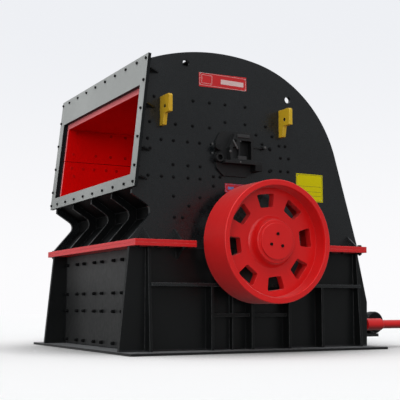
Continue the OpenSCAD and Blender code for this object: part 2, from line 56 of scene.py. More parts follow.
# camera: low, ahead of the near feed corner, tilted up so that the uprights lean in
view = {"place": (-5.812, -11.045, 0.584), "yaw": -27.908, "pitch": 6.721, "lens": 79.70}
camera = bpy.data.cameras.new("camera")
camera.sensor_width = 36
camera.lens = view["lens"]
eye = bpy.data.objects.new("camera", camera)
eye.location = view["place"]
eye.rotation_euler = (math.radians(90 + view["pitch"]), 0, math.radians(view["yaw"]))
scene.collection.objects.link(eye)
scene.camera = eye
scene.view_settings.view_transform = "Standard"

studio = {
    "keyFrom": (-3.8, -3.2, 8.0), "keyPower": 1.5, "keySpread": 60,
    "fillFrom": (-5.5, -8.5, 1.6), "fillPower": 0.75, "fillSpread": 25, "ambient": 0.60,
    "skyLow": (0.975, 0.972, 0.985), "skyHigh": (0.855, 0.87, 0.905), "glossLow": 0.36, "glossHigh": 0.95,
    "floorShare": 0.10, "floorColour": 0.94, "floorShadow": 0.22, "floorInGloss": 0.33, "floorBounce": 0.36,
    "mouthFrom": (-6.0, -1.5, 1.2), "mouthAt": (0.2, 0.5, 2.9), "mouthPower": 330, "mouthSpread": 17,
}


def sunLamp(name, source, power, spread):
    lamp = bpy.data.lights.new(name, "SUN")
    lamp.energy = power
    lamp.angle = math.radians(spread)
    obj = bpy.data.objects.new(name, lamp)
    obj.rotation_euler = (-Vector(source)).to_track_quat("-Z", "Y").to_euler()
    obj.location = source
    scene.collection.objects.link(obj)


sunLamp("key lamp", studio["keyFrom"], studio["keyPower"], studio["keySpread"])
sunLamp("fill lamp", studio["fillFrom"], studio["fillPower"], studio["fillSpread"])

# a soft spot from ahead of the feed mouth reaches the liners inside it
spot = bpy.data.lights.new("mouth lamp", "SPOT")
spot.energy = studio["mouthPower"]
spot.spot_size = math.radians(studio["mouthSpread"])
spot.spot_blend = 1.0
spot.shadow_soft_size = 0.6
spotObject = bpy.data.objects.new("mouth lamp", spot)
spotObject.location = studio["mouthFrom"]
aimLine = Vector(studio["mouthAt"]) - Vector(studio["mouthFrom"])
spotObject.rotation_euler = aimLine.to_track_quat("-Z", "Y").to_euler()
scene.collection.objects.link(spotObject)


class Tree:
    # a node tree with a short way to add and join nodes
    def __init__(self, owner):
        owner.use_nodes = True
        self.tree = owner.node_tree
        self.tree.nodes.clear()

    def add(self, kind, **values):
        node = self.tree.nodes.new(kind)
        for key, value in values.items():
            setattr(node, key, value)
        return node

    def join(self, source, target):
        self.tree.links.new(source, target)
        return target

    # sets a socket: a link when an output is given, its own value otherwise
    def feed(self, node, which, value):
        socket = node.inputs[which]
        if isinstance(value, bpy.types.NodeSocket):
            self.tree.links.new(value, socket)
        else:
            socket.default_value = value

    def math(self, kind, a, b=0.0):
        node = self.add("ShaderNodeMath", operation=kind)
        self.feed(node, 0, a)
        self.feed(node, 1, b)
        return node.outputs[0]

    def mix(self, factor, a, b):
        node = self.add("ShaderNodeMix", data_type="RGBA")
        self.feed(node, 0, factor)
        self.feed(node, 6, a)
        self.feed(node, 7, b)
        return node.outputs[2]

    # the x, y and z of a vector
    def split(self, vector):
        node = self.add("ShaderNodeSeparateXYZ")
        self.join(vector, node.inputs[0])
        return tuple(node.outputs)

    # eases from toLow to toHigh while the value goes from low to high
    def span(self, value, low, high, toLow=0.0, toHigh=1.0):
        node = self.add("ShaderNodeMapRange", interpolation_type="SMOOTHSTEP")
        for i, v in enumerate((value, low, high, toLow, toHigh)):
            self.feed(node, i, v)
        return node.outputs[0]

    def noise(self, where, scale, detail=3.0, stretch=(1, 1, 1)):
        mapping = self.add("ShaderNodeMapping")
        mapping.inputs["Scale"].default_value = stretch
        self.join(where, mapping.inputs["Vector"])
        node = self.add("ShaderNodeTexNoise")
        node.inputs["Scale"].default_value = scale
        node.inputs["Detail"].default_value = detail
        self.join(mapping.outputs[0], node.inputs["Vector"])
        return node.outputs[0]


# sky: a pale backdrop when seen, a bright ceiling over dimmer walls in gloss, and an even light on matt faces
world = bpy.data.worlds.new("studio")
scene.world = world
sky = Tree(world)
ray = sky.add("ShaderNodeLightPath")
seen = sky.math("MAXIMUM", ray.outputs["Is Camera Ray"], ray.outputs["Is Transmission Ray"])
height = sky.split(sky.add("ShaderNodeTexCoord").outputs["Generated"])[2]
rise = sky.span(height, 0.0, 0.33)
shade = sky.mix(rise, (*studio["skyLow"], 1), (*studio["skyHigh"], 1))
backdrop = sky.add("ShaderNodeBackground")
sky.join(shade, backdrop.inputs[0])
mirrored = sky.add("ShaderNodeBackground")
sky.join(shade, mirrored.inputs[0])
sky.join(sky.span(height, 0.05, 0.75, studio["glossLow"], studio["glossHigh"]), mirrored.inputs[1])
ambient = sky.add("ShaderNodeBackground")
ambient.inputs[0].default_value = (0.97, 0.985, 1, 1)
ambient.inputs[1].default_value = studio["ambient"]
glossMix = sky.add("ShaderNodeMixShader")
sky.join(ray.outputs["Is Glossy Ray"], glossMix.inputs[0])
sky.join(ambient.outputs[0], glossMix.inputs[1])
sky.join(mirrored.outputs[0], glossMix.inputs[2])
skyMix = sky.add("ShaderNodeMixShader")
sky.join(seen, skyMix.inputs[0])
sky.join(glossMix.outputs[0], skyMix.inputs[1])
sky.join(backdrop.outputs[0], skyMix.inputs[2])
sky.join(skyMix.outputs[0], sky.add("ShaderNodeOutputWorld").inputs[0])

# floor: even and pale, and it keeps part of the shadow
floorMesh = bpy.data.meshes.new("floor")
floorMesh.from_pydata([(-200, -200, 0), (200, -200, 0), (200, 200, 0), (-200, 200, 0)], [], [(0, 1, 2, 3)])
floor = bpy.data.objects.new("floor", floorMesh)
scene.collection.objects.link(floor)
floorCoat = bpy.data.materials.new("floor")
ground = Tree(floorCoat)
shown = ground.add("ShaderNodeBsdfDiffuse")
nearness = ground.add("ShaderNodeAmbientOcclusion", samples=8)
nearness.inputs["Distance"].default_value = 2.4
openness = ground.span(nearness.outputs["AO"], 0.45, 0.98, studio["floorShadow"], studio["floorColour"])
ground.join(openness, shown.inputs[0])
bounced = ground.add("ShaderNodeBsdfDiffuse")
bounced.inputs[0].default_value = (*[studio["floorBounce"]] * 3, 1)
even = ground.add("ShaderNodeEmission")
even.inputs[0].default_value = (*studio["skyLow"], 1)
dim = ground.add("ShaderNodeEmission")
dim.inputs[0].default_value = (*[studio["floorInGloss"]] * 3, 1)
floorPlace = ground.add("ShaderNodeTexCoord")
floorReach = ground.add("ShaderNodeVectorMath", operation="LENGTH")
ground.join(floorPlace.outputs["Object"], floorReach.inputs[0])
farAway = ground.span(floorReach.outputs["Value"], 4.0, 45.0, studio["floorShare"], 1.0)
floorRay = ground.add("ShaderNodeLightPath")
floorMix = [ground.add("ShaderNodeMixShader") for step in range(3)]
for mixer, factor, first, second in (
        (floorMix[0], farAway, shown, even), (floorMix[1], floorRay.outputs["Is Glossy Ray"], bounced, dim),
        (floorMix[2], floorRay.outputs["Is Camera Ray"], floorMix[1], floorMix[0])):
    ground.join(factor, mixer.inputs[0])
    ground.join(first.outputs[0], mixer.inputs[1])
    ground.join(second.outputs[0], mixer.inputs[2])
ground.join(floorMix[2].outputs[0], ground.add("ShaderNodeOutputMaterial").inputs[0])
floorMesh.materials.append(floorCoat)
print("camera, lamps and floor set")

# sprayed paint on steel: cloudy tone, a pale tone where faces look up that is dust and on some finishes
# painted highlight, a little orange peel, and pale edges that are partly wear and partly painted highlight
black = (0.0050, 0.0062, 0.0070)
finishes = {
    "housing_black": {
        "base": (0.0038, 0.0052, 0.0060), "cloud": (0.0058, 0.0076, 0.0086), "edge": (0.060, 0.063, 0.064),
        "dustAndHighlight": (0.05, 0.05, 0.049), "dustAndHighlightAmount": 0.15, "rough": 0.27, "specular": 0.50, "peel": 0.01},
    # a darker copy of the housing black for the lower walls under the overhangs: painted shade
    "lower_black_shaded": {
        "base": (0.0030, 0.0036, 0.0038), "cloud": (0.0042, 0.0050, 0.0052), "edge": (0.060, 0.063, 0.064),
        "dustAndHighlight": (0.05, 0.05, 0.049), "dustAndHighlightAmount": 0.2, "rough": 0.33, "specular": 0.25, "peel": 0.015},
    # the base's pale top is a painted reflection as well as dust
    "base_black": {
        "base": (0.006, 0.0066, 0.007), "cloud": (0.009, 0.0098, 0.0102), "edge": (0.02, 0.021, 0.021),
        "dustAndHighlight": (0.20, 0.207, 0.214), "dustAndHighlightAmount": 0.85, "rough": 0.36, "specular": 0.30, "peel": 0.015,
        "dustAndHighlightLeast": 0.8},
    # darker copies of the black for the throat, its ribs and the rear drum: painted shade of the hollow
    # between the ribs; the ribs' pale edge colour is a painted highlight
    "throat_black_shaded": {
        "base": (0.0024, 0.0028, 0.0029), "cloud": (0.0034, 0.0038, 0.0040), "edge": (0.05, 0.052, 0.053),
        "dustAndHighlight": (0.02, 0.02, 0.02), "dustAndHighlightAmount": 0.1, "rough": 0.45, "specular": 0.07, "peel": 0.015},
    "rib_black_shaded": {
        "base": (0.0030, 0.0034, 0.0036), "cloud": (0.0042, 0.0048, 0.0050), "edge": (0.16, 0.165, 0.168),
        "dustAndHighlight": (0.03, 0.03, 0.03), "dustAndHighlightAmount": 0.1, "rough": 0.36, "specular": 0.14, "peel": 0.015},
    # a paler copy of the black for the lower front wall, which faces the lamps: painted light
    "front_black_lit": {
        "base": (0.017, 0.0178, 0.018), "cloud": (0.024, 0.0247, 0.025), "edge": (0.075, 0.075, 0.075),
        "dustAndHighlight": (0.10, 0.10, 0.10), "dustAndHighlightAmount": 0.2, "rough": 0.40, "specular": 0.32, "peel": 0.02},
    # the pale tone on the flywheels' upward faces is a painted highlight
    "wheel_red": {
        "base": (0.64, 0.0070, 0.0074), "cloud": (0.58, 0.0062, 0.0066), "edge": (0.64, 0.020, 0.020),
        "dustAndHighlight": (0.55, 0.10, 0.095), "dustAndHighlightAmount": 0.2, "rough": 0.33, "specular": 0.32, "peel": 0.015,
        "sheen": 0.14},
    "flange_red": {
        "base": (0.58, 0.0080, 0.010), "cloud": (0.52, 0.0070, 0.0085), "edge": (0.66, 0.10, 0.095),
        "dustAndHighlight": (0.56, 0.13, 0.12), "dustAndHighlightAmount": 0.3, "rough": 0.38, "specular": 0.38, "peel": 0.02},
    "liner_red": {
        "base": (0.66, 0.0012, 0.0012), "cloud": (0.60, 0.0011, 0.0011), "edge": (0.70, 0.09, 0.085),
        "dustAndHighlight": (0.56, 0.04, 0.035), "dustAndHighlightAmount": 0.15, "rough": 0.5, "specular": 0.04, "peel": 0.02},
    "rod_red": {
        "base": (0.62, 0.0060, 0.0075), "cloud": (0.55, 0.0055, 0.0065), "edge": (0.68, 0.08, 0.075),
        "dustAndHighlight": (0.60, 0.12, 0.11), "dustAndHighlightAmount": 0.3, "rough": 0.36, "specular": 0.38, "peel": 0.02},
    "lug_yellow": {
        "base": (0.56, 0.36, 0.012), "cloud": (0.55, 0.31, 0.012), "edge": (0.74, 0.52, 0.12),
        "dustAndHighlight": (0.55, 0.42, 0.18), "dustAndHighlightAmount": 0.3, "rough": 0.42, "specular": 0.35, "peel": 0.02},
    "plate_red": {
        "base": (0.50, 0.010, 0.013), "cloud": (0.45, 0.009, 0.012), "edge": (0.62, 0.12, 0.12),
        "dustAndHighlight": (0.5, 0.2, 0.2), "dustAndHighlightAmount": 0.15, "rough": 0.35, "specular": 0.4, "peel": 0.0},
    "plate_yellow": {
        "base": (0.56, 0.50, 0.0015), "cloud": (0.50, 0.44, 0.0015), "edge": (0.66, 0.60, 0.06),
        "dustAndHighlight": (0.5, 0.46, 0.15), "dustAndHighlightAmount": 0.15, "rough": 0.45, "specular": 0.08, "peel": 0.0},
    "flange_grey": {
        "base": (0.42, 0.435, 0.425), "cloud": (0.37, 0.383, 0.375), "edge": (0.50, 0.51, 0.50),
        "dustAndHighlight": (0.40, 0.40, 0.39), "dustAndHighlightAmount": 0.2, "rough": 0.50, "specular": 0.16, "peel": 0.02},
    "dark_cast": {
        "base": (0.0085, 0.0090, 0.0095), "cloud": (0.013, 0.0137, 0.0142), "edge": (0.06, 0.061, 0.062),
        "dustAndHighlight": (0.07, 0.07, 0.068), "dustAndHighlightAmount": 0.3, "rough": 0.44, "specular": 0.3, "peel": 0.08},
    "bolt_black": {
        "base": (0.0030, 0.0032, 0.0035), "cloud": (0.0045, 0.0045, 0.005), "edge": (0.02, 0.02, 0.02),
        "dustAndHighlight": (0.02, 0.02, 0.02), "dustAndHighlightAmount": 0.3, "rough": 0.5, "specular": 0.14, "peel": 0.0},
    "weld_black": {
        "base": (0.0075, 0.0082, 0.0088), "cloud": (0.011, 0.012, 0.0125), "edge": (0.05, 0.05, 0.05),
        "dustAndHighlight": (0.06, 0.06, 0.06), "dustAndHighlightAmount": 0.2, "rough": 0.42, "specular": 0.3, "peel": 0.1},
    "worn_grey": {
        "base": (0.075, 0.076, 0.076), "cloud": (0.055, 0.056, 0.056), "edge": (0.12, 0.12, 0.12),
        "dustAndHighlight": (0.10, 0.10, 0.10), "dustAndHighlightAmount": 0.3, "rough": 0.5, "specular": 0.3, "peel": 0.1},
    "scuffed_black": {
        "base": (0.026, 0.027, 0.028), "cloud": (0.040, 0.041, 0.041), "edge": (0.1, 0.1, 0.1),
        "dustAndHighlight": (0.06, 0.06, 0.06), "dustAndHighlightAmount": 0.3, "rough": 0.5, "specular": 0.3, "peel": 0.1},
    "plug_red": {
        "base": (0.52, 0.001, 0.001), "cloud": (0.46, 0.001, 0.001), "edge": (0.4, 0.05, 0.05),
        "dustAndHighlight": (0.3, 0.05, 0.05), "dustAndHighlightAmount": 0.1, "rough": 0.5, "specular": 0.1, "peel": 0.0},
    "seam_dark": {
        "base": (0.13, 0.001, 0.001), "cloud": (0.10, 0.001, 0.001), "edge": (0.1, 0.001, 0.001),
        "dustAndHighlight": (0.1, 0.02, 0.02), "dustAndHighlightAmount": 0.1, "rough": 0.7, "specular": 0.05, "peel": 0.0},
    "pale_ink": {
        "base": (0.62, 0.45, 0.44), "cloud": (0.56, 0.38, 0.37), "edge": (0.7, 0.6, 0.6),
        "dustAndHighlight": (0.6, 0.5, 0.5), "dustAndHighlightAmount": 0.1, "rough": 0.5, "specular": 0.4, "peel": 0.0},
    "blue_ink": {
        "base": (0.16, 0.18, 0.42), "cloud": (0.14, 0.16, 0.36), "edge": (0.3, 0.3, 0.5),
        "dustAndHighlight": (0.3, 0.3, 0.4), "dustAndHighlightAmount": 0.1, "rough": 0.5, "specular": 0.4, "peel": 0.0},
    "dark_ink": {
        "base": (0.09, 0.085, 0.012), "cloud": (0.12, 0.11, 0.014), "edge": (0.2, 0.2, 0.1),
        "dustAndHighlight": (0.2, 0.2, 0.1), "dustAndHighlightAmount": 0.1, "rough": 0.5, "specular": 0.3, "peel": 0.0},
}


# noise scales, all per metre: cloud, dust and painted highlight on tops, runs, worn and highlighted edges and
# orange peel
grain = {"cloud": 1.1, "dustAndHighlight": 19, "runs": 5.5, "wearAndHighlight": 34, "peel": 75}


def paint(name, look, tint=None):
    mat = bpy.data.materials.new(name)
    t = Tree(mat)
    coords = t.add("ShaderNodeTexCoord")
    where = coords.outputs["Object"]
    broad = t.span(t.noise(where, grain["cloud"], 4), 0.35, 0.65)
    fine = t.noise(where, grain["dustAndHighlight"], 3)
    streak = t.span(t.noise(where, grain["runs"], 2, (1, 1, 0.12)), 0.48, 0.72)
    colour = t.mix(t.math("MULTIPLY", broad, 0.8), (*look["base"], 1), (*look["cloud"], 1))
    colour = t.mix(t.math("MULTIPLY", streak, 0.10), colour, (*[0.8 * c for c in look["base"]], 1))
    # pale tone on faces that look up: dust, and on the base and flywheels a painted highlight
    level = t.span(t.split(coords.outputs["Normal"])[2], 0.55, 0.98)
    dustAndHighlightShare = t.math("MULTIPLY", level, t.span(fine, 0.3, 0.7, look.get("dustAndHighlightLeast", 0.35), 1.0))
    colour = t.mix(t.math("MULTIPLY", dustAndHighlightShare, look["dustAndHighlightAmount"]), colour, (*look["dustAndHighlight"], 1))
    # pale edges on the rounds: partly wear, partly painted highlight
    rim = t.add("ShaderNodeAttribute", attribute_name="wearAndHighlight")
    edgePatches = t.span(t.noise(where, grain["wearAndHighlight"], 4), 0.36, 0.62, 0.15, 0.75)
    wearAndHighlight = t.math("MULTIPLY", rim.outputs["Fac"], edgePatches)
    colour = t.mix(wearAndHighlight, colour, (*look["edge"], 1))
    if tint:
        colour = tint(t, coords, colour)
    shader = t.add("ShaderNodeBsdfPrincipled")
    t.join(colour, shader.inputs["Base Color"])
    t.join(t.span(fine, 0.25, 0.75, look["rough"] - 0.05, look["rough"] + 0.07), shader.inputs["Roughness"])
    shader.inputs["Specular IOR Level"].default_value = look["specular"]
    shader.inputs["Sheen Weight"].default_value = look.get("sheen", 0.0)
    shader.inputs["Sheen Roughness"].default_value = 0.35
    if look["peel"]:
        bump = t.add("ShaderNodeBump")
        bump.inputs["Strength"].default_value = look["peel"]
        bump.inputs["Distance"].default_value = 0.004
        t.join(t.noise(where, grain["peel"], 2), bump.inputs["Height"])
        t.join(bump.outputs[0], shader.inputs["Normal"])
    t.join(shader.outputs[0], t.add("ShaderNodeOutputMaterial").inputs[0])
    return mat


# bare steel: grey metal with brushed or cast grain, brown in the hollows where it rusts
metals = {
    "shaft_steel": {"base": (0.42, 0.42, 0.43), "rust": (0.20, 0.12, 0.07), "rustAmount": 0.12,
                    "rough": 0.34, "grain": 0.05},
    "rotor_iron": {"base": (0.10, 0.10, 0.10), "rust": (0.10, 0.055, 0.03), "rustAmount": 0.45,
                   "rough": 0.55, "grain": 0.25},
    "wear_iron": {"base": (0.15, 0.145, 0.14), "rust": (0.13, 0.075, 0.04), "rustAmount": 0.4,
                  "rough": 0.52, "grain": 0.25},
    "bolt_steel": {"base": (0.035, 0.036, 0.038), "rust": (0.05, 0.035, 0.022), "rustAmount": 0.2,
                   "rough": 0.45, "grain": 0.05},
    "bright_steel": {"base": (0.45, 0.45, 0.46), "rust": (0.22, 0.15, 0.09), "rustAmount": 0.12,
                     "rough": 0.38, "grain": 0.05},
}


def metal(name, look):
    mat = bpy.data.materials.new(name)
    t = Tree(mat)
    where = t.add("ShaderNodeTexCoord").outputs["Object"]
    patches = t.span(t.noise(where, 6, 5), 0.45, 0.7)
    dull = [0.7 * c for c in look["base"]]
    bright = [min(1.0, 1.8 * c) for c in look["base"]]
    colour = t.mix(t.math("MULTIPLY", t.noise(where, 2.2, 3), 0.4), (*look["base"], 1), (*dull, 1))
    colour = t.mix(t.math("MULTIPLY", patches, look["rustAmount"]), colour, (*look["rust"], 1))
    # paler edges on the rounds: partly wear, partly painted highlight
    rim = t.add("ShaderNodeAttribute", attribute_name="wearAndHighlight")
    colour = t.mix(t.math("MULTIPLY", rim.outputs["Fac"], 0.5), colour, (*bright, 1))
    shader = t.add("ShaderNodeBsdfPrincipled")
    t.join(colour, shader.inputs["Base Color"])
    shader.inputs["Metallic"].default_value = 0.85
    t.join(t.span(patches, 0, 1, look["rough"], look["rough"] + 0.2), shader.inputs["Roughness"])
    bump = t.add("ShaderNodeBump")
    bump.inputs["Strength"].default_value = look["grain"]
    bump.inputs["Distance"].default_value = 0.003
    t.join(t.noise(where, 60, 3), bump.inputs["Height"])
    t.join(bump.outputs[0], shader.inputs["Normal"])
    t.join(shader.outputs[0], t.add("ShaderNodeOutputMaterial").inputs[0])
    return mat


# the feed flange is primed on its face only, and painted darker lower down as painted shade; its edges, holes
# and back are black
primer = {"tilt": 6, "facing": (0.80, 0.90),
          "paintedShadeZ": (1.9, 3.0), "paintedShadeShare": 0.32, "paintedShade": (0.10, 0.105, 0.10)}


def primedFace(t, coords, colour):
    turn = t.add("ShaderNodeVectorMath", operation="DOT_PRODUCT")
    t.join(coords.outputs["Normal"], turn.inputs[0])
    tilt = math.radians(primer["tilt"])
    turn.inputs[1].default_value = (-math.cos(tilt), 0, math.sin(tilt))
    # painted shade: the primed face is darkened towards its bottom
    low = t.span(t.split(coords.outputs["Object"])[2], *primer["paintedShadeZ"], primer["paintedShadeShare"], 0.0)
    colour = t.mix(low, colour, (*primer["paintedShade"], 1))
    return t.mix(t.span(turn.outputs["Value"], *primer["facing"]), (*black, 1), colour)


# the lower front wall is painted paler towards its top: painted light
frontTopLight = {"risesZ": (0.55, 1.2), "share": 0.95, "colour": (0.056, 0.057, 0.057)}


def litTop(t, coords, colour):
    # painted light: a paler grey mixed in towards the top
    share = t.span(t.split(coords.outputs["Object"])[2], *frontTopLight["risesZ"], 0.0, frontTopLight["share"])
    return t.mix(share, colour, (*frontTopLight["colour"], 1))


# 1 inside a box of object space, with both sides of the machine folded onto one by the size of y
def insideBox(t, coords, low, high):
    x, y, z = t.split(coords.outputs["Object"])
    inside = 1.0
    for axis, lowest, highest in zip((x, t.math("ABSOLUTE", y), z), low, high):
        between = t.math("MULTIPLY", t.math("GREATER_THAN", axis, lowest), t.math("LESS_THAN", axis, highest))
        inside = between if inside == 1.0 else t.math("MULTIPLY", inside, between)
    return inside


# the joint flanges are painted pale on their front edge as a painted highlight, and black where the bearing's
# notch cuts them back
jointTone = {"facing": (-0.7, -0.9), "paintedSheen": (0.72, 0.055, 0.062), "notchLow": (-0.851, 0, 0),
             "notchHigh": (0.851, 9, 9)}


def sheenAndBlackNotch(t, coords, colour):
    # painted highlight: faces that look forward are mixed towards a pale red
    sheenFront = t.span(t.split(coords.outputs["Normal"])[0], *jointTone["facing"])
    colour = t.mix(sheenFront, colour, (*jointTone["paintedSheen"], 1))
    return t.mix(insideBox(t, coords, jointTone["notchLow"], jointTone["notchHigh"]), colour, (*black, 1))


# the liners are painted brighter deep inside, as painted light where little light reaches, and the front
# edges that look out of the feed mouth are painted pale as a painted highlight
linerTone = {"deepX": (-1.45, -0.5), "deep": (0.99, 0.0024, 0.0022), "facing": -0.75,
             "paintedFrontHighlight": (0.79, 0.20, 0.21), "mouthLow": (-3, -1, 0), "mouthHigh": (-1.35, 3, 9)}


def litLinerPaint(t, coords, colour):
    facing = t.math("LESS_THAN", t.split(coords.outputs["Normal"])[0], linerTone["facing"])
    front = t.math("MULTIPLY", facing, insideBox(t, coords, linerTone["mouthLow"], linerTone["mouthHigh"]))
    # painted light deeper in, then a painted highlight on the forward faces in the mouth
    deep = t.span(t.split(coords.outputs["Object"])[0], *linerTone["deepX"])
    colour = t.mix(deep, colour, (*linerTone["deep"], 1))
    return t.mix(front, colour, (*linerTone["paintedFrontHighlight"], 1))


# painted light behind the flywheels, lifting their shadow: y past the side plate, times sqrt(x x + (z -
# shaftZ)^2) short of the reach
wheelShadowLift = {"shaftZ": 1.34, "outerY": (1.380, 1.390), "reach": (0.68, 0.55), "colour": (0.045, 0.050, 0.048)}


def litBehindWheel(t, coords, colour):
    x, y, z = t.split(coords.outputs["Object"])
    high = t.math("SUBTRACT", z, wheelShadowLift["shaftZ"])
    away = t.math("SQRT", t.math("ADD", t.math("MULTIPLY", x, x), t.math("MULTIPLY", high, high)))
    outer = t.span(t.math("ABSOLUTE", y), *wheelShadowLift["outerY"])
    # painted light: a paler black mixed in round the shaft behind each wheel
    share = t.math("MULTIPLY", outer, t.span(away, *wheelShadowLift["reach"]))
    return t.mix(share, colour, (*wheelShadowLift["colour"], 1))


# the rod is painted darker underneath: painted shade
rodShade = {"facing": (0.1, -0.7), "share": 0.9, "colour": (0.14, 0.0015, 0.0020)}


def shadedBelow(t, coords, colour):
    # painted shade on the faces that look down
    below = t.span(t.split(coords.outputs["Normal"])[2], *rodShade["facing"], 0.0, rodShade["share"])
    return t.mix(below, colour, (*rodShade["colour"], 1))


# the shackle holes through the lugs are painted nearly black inside: painted shade
boreShade = {"x": (-1.26, 0.467), "depth": (0.001, 0.049), "y": (1.505, 1.571), "z": (2.943, 3.009),
           "colour": (0.006, 0.005, 0.004)}


def shadedBore(t, coords, colour):
    # painted shade inside each hole
    for x in boreShade["x"]:
        low, high = zip((x + boreShade["depth"][0], x + boreShade["depth"][1]), boreShade["y"], boreShade["z"])
        colour = t.mix(insideBox(t, coords, low, high), colour, (*boreShade["colour"], 1))
    return colour


# the adjuster's recess, end knob, ring and hook are painted nearly black: painted shade where they sit unlit
adjusterShade = {
    "colour": (0.0025, 0.0027, 0.003),
    "boxes": (
        ((-0.198, 1.30, 2.404), (-0.029, 1.5235, 2.647)), ((-0.545, 1.30, 2.502), (-0.462, 1.60, 2.582)),
        ((-0.497, 1.42, 2.381), (-0.427, 1.495, 2.451)), ((0.010, 1.38, 2.262), (0.125, 1.60, 2.3445))),
}


def shadedAdjusterParts(t, coords, colour):
    # painted shade over each box
    for low, high in adjusterShade["boxes"]:
        colour = t.mix(insideBox(t, coords, low, high), colour, (*adjusterShade["colour"], 1))
    return colour


tints = {
    "flange_grey": primedFace, "flange_red": sheenAndBlackNotch, "liner_red": litLinerPaint, "rod_red": shadedBelow,
    "adjuster_black": shadedAdjusterParts, "front_black_lit": litTop, "lug_yellow": shadedBore,
    "housing_black": litBehindWheel, "lower_black_shaded": litBehindWheel, "dark_cast": litBehindWheel,
}
finishes["adjuster_black"] = finishes["dark_cast"]
coats = {name: paint(name, look, tints.get(name)) for name, look in finishes.items()}
coats.update({name: metal(name, look) for name, look in metals.items()})
print(len(coats), "finishes made")

# width of the broken edge in metres, and the nodes whose finish isn't their slot's own
broken = {
    "default": 0.0035, "flywheel_near": 0.004, "flywheel_far": 0.004, "main_shaft": 0.004,
    "lug_near_front": 0.004, "lug_near_rear": 0.004,
    "name_plate": 0.0012, "small_plate": 0.0012, "safety_plate": 0.0012,
}
coatOf = {
    "lower_front_wall": "front_black_lit", "base_plate": "base_black", "rear_drum": "rib_black_shaded",
    "adjuster_near": "adjuster_black", "adjuster_far": "adjuster_black",
    "throat_wall": "throat_black_shaded", "feed_floor": "throat_black_shaded",
}
coatOf.update({node: "lower_black_shaded" for node in ("lower_side_near", "lower_side_far", "lower_rear_wall")})
coatOf.update({"throat_rib_" + place: "rib_black_shaded" for place in ("near", "middle", "far")})


# area of a mesh's triangles that point away from the face they belong to
def turnedOver(mesh):
    mesh.calc_loop_triangles()
    lost = 0.0
    for tri in mesh.loop_triangles:
        if tri.normal.dot(mesh.polygons[tri.polygon_index].normal) < 0.5:
            lost += tri.area
    return lost


# a merged copy of a node: flat faces joined, each sharp edge cut by a small round
edging = {"merge": 0.0004, "flat": 0.7, "sharp": 28, "crease": 48, "turnedArea": 1e-5}  # metres and degrees


def edged(node, width, split=False):
    source = nodes[node]
    bm = bmesh.new()
    bm.from_mesh(source.data)
    rims = bm.faces.layers.float.new("wearAndHighlight")
    bmesh.ops.remove_doubles(bm, verts=bm.verts, dist=edging["merge"])
    bmesh.ops.dissolve_limit(bm, angle_limit=math.radians(edging["flat"]), verts=bm.verts, edges=bm.edges)
    if split:
        bmesh.ops.triangulate(bm, faces=[f for f in bm.faces if len(f.verts) > 4], ngon_method="BEAUTY")
    before = bm.calc_volume()
    sharp = [e for e in bm.edges if e.is_manifold and e.calc_face_angle(0) > math.radians(edging["sharp"])]
    made = bmesh.ops.bevel(bm, geom=sharp, offset=width, offset_type="OFFSET", segments=2, profile=0.5,
                           affect="EDGES", clamp_overlap=True, miter_outer="SHARP", material=-1)
    # the rounds' faces are marked for the pale edge colour: partly wear, partly painted highlight
    for face in made["faces"]:
        face[rims] = 1.0
    for face in bm.faces:
        face.smooth = True
    after = bm.calc_volume()
    mesh = bpy.data.meshes.new(node + "_plate")
    bm.to_mesh(mesh)
    bm.free()
    if turnedOver(mesh) > edging["turnedArea"] and not split:
        return edged(node, width, split=True)
    mesh.set_sharp_from_angle(angle=math.radians(edging["crease"]))
    mesh.materials.clear()
    mesh.materials.append(coats[coatOf.get(node, slotOf[node])])
    obj = bpy.data.objects.new(node + "_plate", mesh)
    scene.collection.objects.link(obj)
    even = obj.modifiers.new("even shading", "WEIGHTED_NORMAL")
    even.keep_sharp = True
    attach(obj, bodyOf[node])
    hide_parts(node)
    if split:
        print("%s cut into triangles before its edges were rounded" % node)
    return obj, before, after


for node in sorted(nodes):
    width = broken.get(node, broken["default"])
    obj, before, after = edged(node, width)
    print("edged %s: %d faces, volume x %.4f" % (node, len(obj.data.polygons), after / before))


# quads of a grid of rows x cols points, wrapped round where asked
def gridFaces(rows, cols, wrapRows=False, wrapCols=False):
    i = np.arange(rows if wrapRows else rows - 1)[:, None]
    j = np.arange(cols if wrapCols else cols - 1)[None, :]
    row, nextRow = i * cols, (i + 1) % rows * cols
    nextJ = (j + 1) % cols
    return np.stack([row + j, row + nextJ, nextRow + nextJ, nextRow + j], -1).reshape(-1, 4)


# turned shape: each (r, h) of the profile at each angle a is the point (r cos a, r sin a, h)
def turned(profile, sides):
    r, h = np.array(profile, float).T
    a = np.arange(sides) * 2 * math.pi / sides
    points = np.stack([np.outer(r, np.cos(a)), np.outer(r, np.sin(a)), np.outer(h, np.ones(sides))], -1)
    return points.reshape(-1, 3), gridFaces(len(r), sides, wrapCols=True)


# several shapes as one: each one's faces count on from the points before it
def together(*shapes):
    starts = np.cumsum([0] + [len(points) for points, faces in shapes[:-1]])
    faces = np.concatenate([f + start for (p, f), start in zip(shapes, starts)])
    return np.concatenate([p for p, f in shapes]), faces


# turning matrix that carries z to the axis, after a spin about z
def aimed(axis, spin=0.0):
    z = np.array(axis, float) / np.linalg.norm(axis)
    x = np.cross((0, 0, 1), z) if abs(z[2]) < 0.9 else np.cross((0, 1, 0), z)
    x = x / np.linalg.norm(x)
    y = np.cross(z, x)
    return np.stack([math.cos(spin) * x + math.sin(spin) * y, math.cos(spin) * y - math.sin(spin) * x, z], 1)


